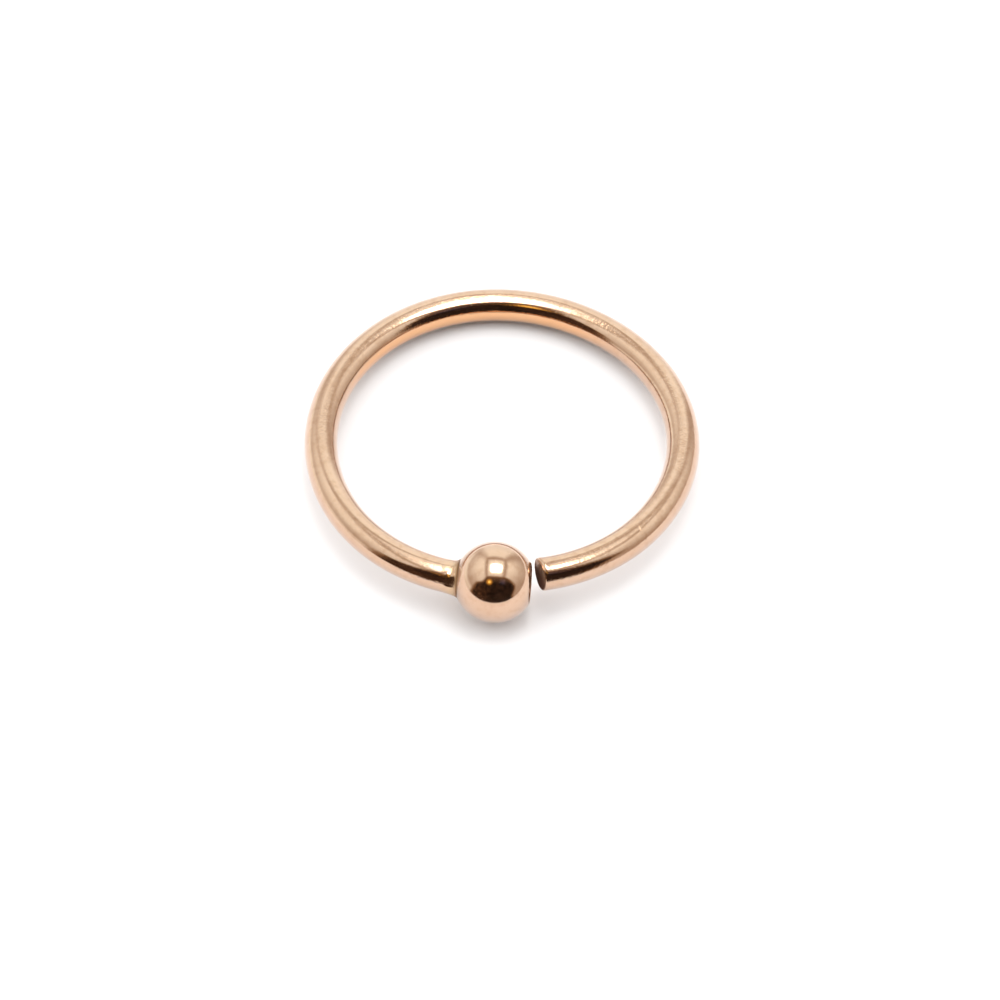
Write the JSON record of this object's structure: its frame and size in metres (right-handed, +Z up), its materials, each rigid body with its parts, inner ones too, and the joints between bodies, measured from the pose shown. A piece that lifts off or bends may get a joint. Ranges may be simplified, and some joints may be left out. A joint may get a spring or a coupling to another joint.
{
  "type": "nose hoop",
  "caption": "Small open hoop of round rose-gold wire with a drilled bead soldered on one end; the free tip springs into the bead's socket.",
  "frame": {"origin": "under the middle of the hoop's outline, on the surface that it rests on", "axes": "+Z up; the bead is at the front, towards -Y, the back of the hoop is towards +Y, and the free tip is to the right of the bead, towards +X"},
  "size_m": [0.0096, 0.0102, 0.002],
  "materials": {
    "rose_gold": "polished"
  },
  "bodies": {
    "root": {"beaded_hoop": "rose_gold"}
  },
  "joints": []
}
